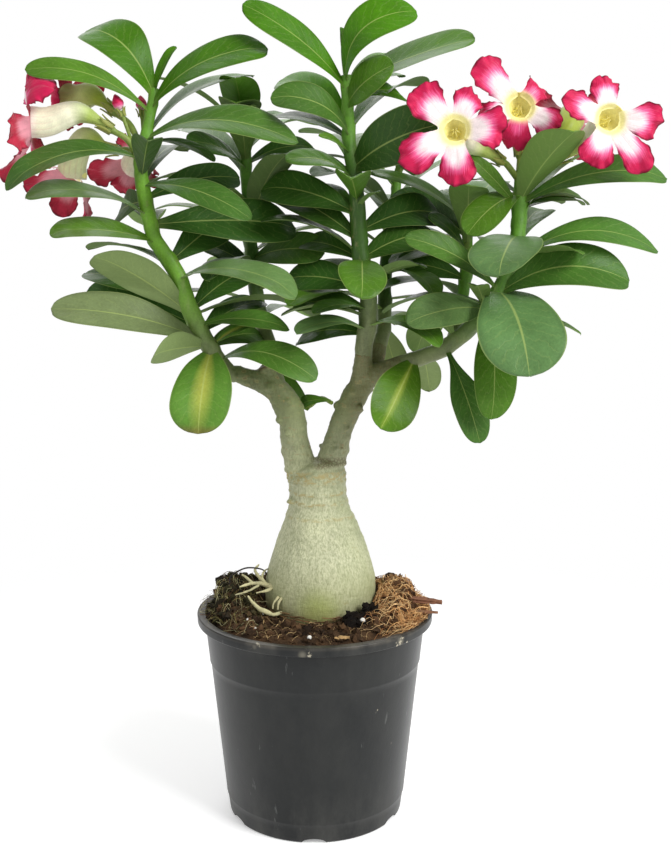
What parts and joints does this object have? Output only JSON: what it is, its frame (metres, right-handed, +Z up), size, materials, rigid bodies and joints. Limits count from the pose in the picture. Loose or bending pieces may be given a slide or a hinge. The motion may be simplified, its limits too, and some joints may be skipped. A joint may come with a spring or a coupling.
{
  "type": "potted desert rose",
  "caption": "Flowering desert rose with a swollen caudex that forks into leafy shoots, in a round plastic nursery pot.",
  "frame": {"origin": "centre of the pot's flat base, on the surface that it stands on", "axes": "+Z up along the pot; -Y is the plant's front, the side that the picture shows; +X is to the right seen from the front"},
  "size_m": [0.3797, 0.1926, 0.4988],
  "materials": {
    "pot_plastic": "scuffed satin",
    "potting_soil": "crumbly and matt",
    "bark_chip": "rough",
    "bark": "smooth waxy bark",
    "leaf_green": "satin",
    "petal_pink": "soft matt"
  },
  "bodies": {
    "root": {"pot": "pot_plastic", "soil": "potting_soil", "bark_chip": "bark_chip", "caudex_trunk": "bark", "leaf_low": "leaf_green", "shoot_left": "leaf_green", "shoot_left_back": "leaf_green", "shoot_centre": "leaf_green", "shoot_centre_back": "leaf_green", "shoot_right": "leaf_green", "bloom_right_front": "petal_pink", "bloom_right_middle": "petal_pink", "bloom_right_end": "petal_pink", "bloom_right_back": "petal_pink", "bloom_left_front": "petal_pink", "bloom_left_back": "petal_pink", "bloom_left_hanging": "petal_pink", "bloom_left_under": "petal_pink", "bud_left_1": "petal_pink", "bud_left_2": "petal_pink"}
  },
  "joints": []
}
